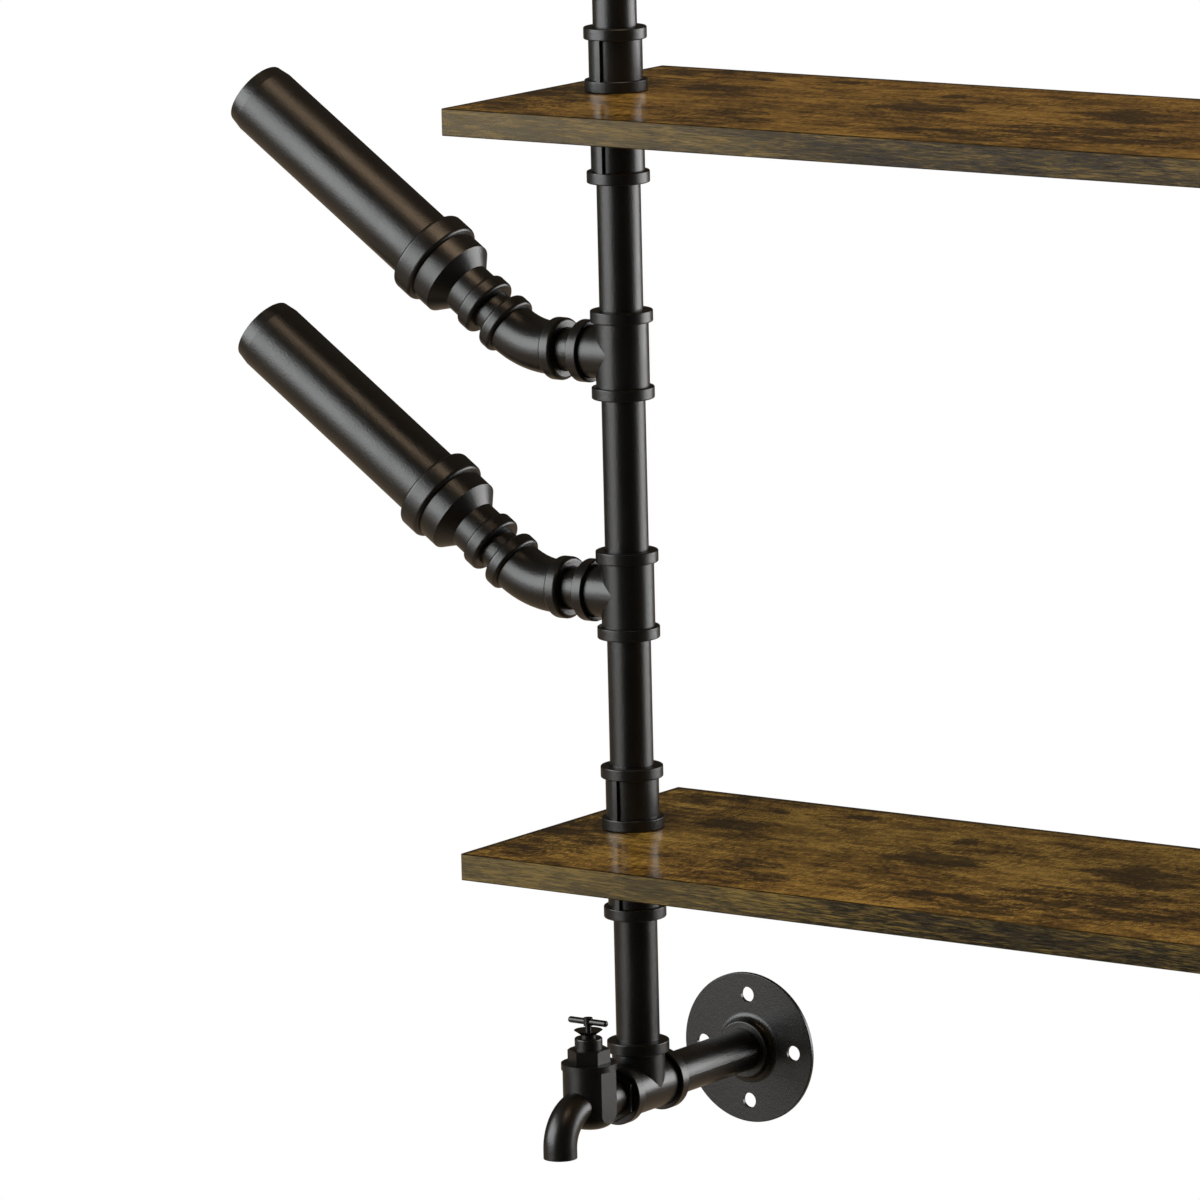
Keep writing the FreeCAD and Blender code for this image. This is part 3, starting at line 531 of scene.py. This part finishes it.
def makeDarkPatch():        # one soft oval patch, strongest in its middle
    tree, given, result = newGroup(
        "darkPatch",
        {"Vector": "Vector", "Centre": "Vector", "Reach": "Vector", "Depth": "Float"},
        {"Mask": "Float"})
    away = vectorNode(tree, "SUBTRACT", given["Vector"], given["Centre"])
    distance = vectorNode(tree, "LENGTH", vectorNode(tree, "DIVIDE", away, given["Reach"]),
                          output="Value")
    feed(tree, result["Mask"],
         spread(tree, distance, patchForm["core"], patchForm["rim"], given["Depth"], 0.0))
    return tree


# Detail and roughness of each size of streak, and the detail of the noise that bends them.
streakForms = {"Broad": (3.0, 0.55), "Middle": (4.0, 0.62), "Fine": (3.0, 0.65)}
driftDetail = 3.0


def makeWoodStreaks():      # streaks in three sizes, stretched along the board by their waves
    tree, given, result = newGroup(
        "woodStreaks",
        {"Vector": "Vector", "Broad Waves": "Vector", "Middle Waves": "Vector",
         "Fine Waves": "Vector"},
        {size: "Float" for size in streakForms})
    for size, (detail, roughness) in streakForms.items():
        feed(tree, result[size], stretchedNoise(tree, given["Vector"], given[size + " Waves"],
                                                detail, roughness))
    return tree


darkPatch = makeDarkPatch()
woodStreaks = makeWoodStreaks()


def streaksOf(tree, vector, figure):
    return useGroup(tree, woodStreaks, Vector=vector, Broad_Waves=figure["broad"],
                    Middle_Waves=figure["middle"], Fine_Waves=figure["fine"])


def bent(tree, vector, bends):      # slow noise makes streaks and patches wander
    for waves, reach in bends:
        drift = noise(tree, vector, waves, driftDetail, output="Color")
        drift = vectorNode(tree, "SUBTRACT", drift, (noiseMiddle,) * 3)
        vector = vectorNode(tree, "MULTIPLY_ADD", drift, reach, vector)
    return vector


def summed(tree, total, *shares):       # adds a share of each mask's distance from its middle
    for mask, share in shares:
        fromMiddle = mathNode(tree, "SUBTRACT", mask, noiseMiddle)
        total = mathNode(tree, "MULTIPLY_ADD", fromMiddle, share, total)
    return total


def finishBoard(tree, shader, colour, grain, look):
    feed(tree, shader.inputs["Base Color"], colour)
    feed(tree, shader.inputs["Roughness"], spread(
        tree, grain, noiseSpan["low"], noiseSpan["high"], look["smooth"], look["rough"]))
    shader.inputs["Specular IOR Level"].default_value = look["specular"]
    addBump(tree, shader, grain, look["bump"])


def makePrint(name, look):
    material, tree, shader = newMaterial(name)
    figure = printFigure
    place = objectPlace(tree)
    onPlane = vectorNode(tree, "MULTIPLY", place, levelOnly)
    printed = bent(tree, onPlane, figure["bends"])
    patches = 0.0
    for x, y, along, across, depth in boardPatches:
        patch = useGroup(tree, darkPatch, Vector=printed, Centre=(x, y, 0.0),
                         Reach=(along, across, 1.0), Depth=depth)["Mask"]
        patches = mathNode(tree, "MAXIMUM", patch, patches)
    streaks = streaksOf(tree, printed, figure)
    ticks = stretchedNoise(tree, onPlane, *figure["ticks"])
    sawMarks = stretchedNoise(tree, onPlane, *figure["sawMarks"])
    sawn = spread(tree, noise(tree, onPlane, figure["sawnAreas"]), figure["sawnFrom"],
                  figure["sawnTo"], noiseMiddle, sawMarks)
    lightness = summed(
        tree, figure["lightness"], (streaks["Broad"], figure["broadShare"]),
        (streaks["Middle"], figure["middleShare"]), (streaks["Fine"], figure["fineShare"]),
        (ticks, figure["tickShare"]), (sawn, figure["sawnShare"]))
    lightness = mathNode(tree, "MULTIPLY_ADD", patches, figure["patchShare"], lightness)
    colour = colourSteps(tree, lightness, look["steps"])
    smoke = summed(tree, patches, (streaks["Middle"], figure["smokeMiddleShare"]),
                   (streaks["Fine"], figure["smokeFineShare"]))
    smoke = spread(tree, smoke, figure["smokeFrom"], figure["smokeTo"], 0.0, look["smokeShare"])
    colour = blendColours(tree, smoke, colour, look["smoke"])
    parts = splitVector(tree, place)
    rimX = spread(tree, mathNode(tree, "ABSOLUTE", parts["X"]),
                  arrisLook["endFrom"], arrisLook["endTo"])
    rimY = spread(tree, parts["Y"], arrisLook["backFrom"], arrisLook["backTo"])
    rim = mathNode(tree, "MULTIPLY", mathNode(tree, "MAXIMUM", rimX, rimY), arrisLook["rimShare"])
    colour = blendColours(tree, rim, colour, arrisLook["colour"])
    finishBoard(tree, shader, colour, streaks["Fine"], look)
    return material


def makeEdgeBand():
    material, tree, shader = newMaterial("boardEdgeBand")
    figure = edgeFigure
    place = objectPlace(tree)
    streaks = streaksOf(tree, bent(tree, place, figure["bends"]), figure)
    ends = spread(tree, mathNode(tree, "ABSOLUTE", splitVector(tree, place)["X"]),
                  edgeLook["greyFrom"], edgeLook["greyTo"])
    lightness = summed(
        tree, figure["lightness"], (streaks["Broad"], figure["broadShare"]),
        (streaks["Middle"], figure["middleShare"]), (streaks["Fine"], figure["fineShare"]))
    lightness = mathNode(tree, "MULTIPLY_ADD", ends, edgeLook["paleEnds"], lightness)
    colour = colourSteps(tree, lightness, edgeLook["steps"])
    grey = mathNode(tree, "MULTIPLY", ends, edgeLook["greyShare"])
    colour = blendColours(tree, grey, colour, edgeLook["grey"])
    finishBoard(tree, shader, colour, streaks["Fine"], edgeLook)
    return material


def makeArris():        # matt and dark, so that the rounded edges draw no bright line
    material, tree, shader = newMaterial("boardArris")
    wear = noise(tree, objectPlace(tree), arrisLook["wear"], arrisLook["wearDetail"])
    wear = spread(tree, wear, noiseSpan["low"], noiseSpan["high"])
    feed(tree, shader.inputs["Base Color"],
         blendColours(tree, wear, arrisLook["colour"], arrisLook["pale"]))
    shader.inputs["Roughness"].default_value = arrisLook["roughness"]
    shader.inputs["Specular IOR Level"].default_value = 0.0
    return material


brassLook = {
    "dark": (0.55, 0.36, 0.12, 1.0), "pale": (0.72, 0.52, 0.22, 1.0),
    "smooth": 0.22, "rough": 0.34, "grain": 1500.0, "casting": 400.0, "castingShare": 0.3,
}
rubberLook = {
    "dark": (0.010, 0.010, 0.010, 1.0), "pale": (0.018, 0.018, 0.018, 1.0),
    "smooth": 0.6, "rough": 0.75, "grain": 1800.0, "casting": 500.0, "castingShare": 0.5,
}


def makeBrass():
    material, tree, shader = newMaterial("valveFinish")
    grain = grainOf(tree, brassLook)
    feed(tree, shader.inputs["Base Color"],
         blendColours(tree, grain["Patches"], brassLook["dark"], brassLook["pale"]))
    feed(tree, shader.inputs["Roughness"],
         spread(tree, grain["Tone"], 0.0, 1.0, brassLook["smooth"], brassLook["rough"]))
    shader.inputs["Metallic"].default_value = 1.0
    return material


def makeRubber():
    material, tree, shader = newMaterial("washerFinish")
    grain = grainOf(tree, rubberLook)
    feed(tree, shader.inputs["Base Color"],
         blendColours(tree, grain["Tone"], rubberLook["dark"], rubberLook["pale"]))
    feed(tree, shader.inputs["Roughness"],
         spread(tree, grain["Patches"], 0.0, 1.0, rubberLook["smooth"], rubberLook["rough"]))
    return material


boardSides = {"top": 0, "upright": 1, "rounded": 2, "underside": 3}
uprightRise, levelRise = 0.05, 0.998        # upright faces rise less, level ones more
finishes = {
    "pipe": [makeIron("pipeFinish", pipeLook)],
    "fitting": [makeIron("fittingFinish", fittingLook)],
    "tap": [makeIron("tapFinish", tapLook)],
    "spindle": [makeIron("spindleFinish", spindleLook)],
    "board": [makePrint("boardPrint", printLook), makeEdgeBand(), makeArris(),
              makePrint("boardUnderside", undersideLook)],     # in the order of boardSides
    "valve": [makeBrass()],
    "washer": [makeRubber()],
}
print("finishes made:", sum(len(made) for made in finishes.values()))


def boardSide(normal):
    rise = abs(normal.z)
    if rise < uprightRise:
        return "upright"
    if rise < levelRise:
        return "rounded"
    return "top" if normal.z > 0 else "underside"


for nodeName, piece in nodes.items():
    slot = slotOf[nodeName]
    piece.data.materials.clear()
    for finish in finishes[slot]:
        piece.data.materials.append(finish)
    for face in piece.data.polygons:
        face.material_index = boardSides[boardSide(face.normal)] if slot == "board" else 0
print("finishes on:", len(nodes), "pieces")
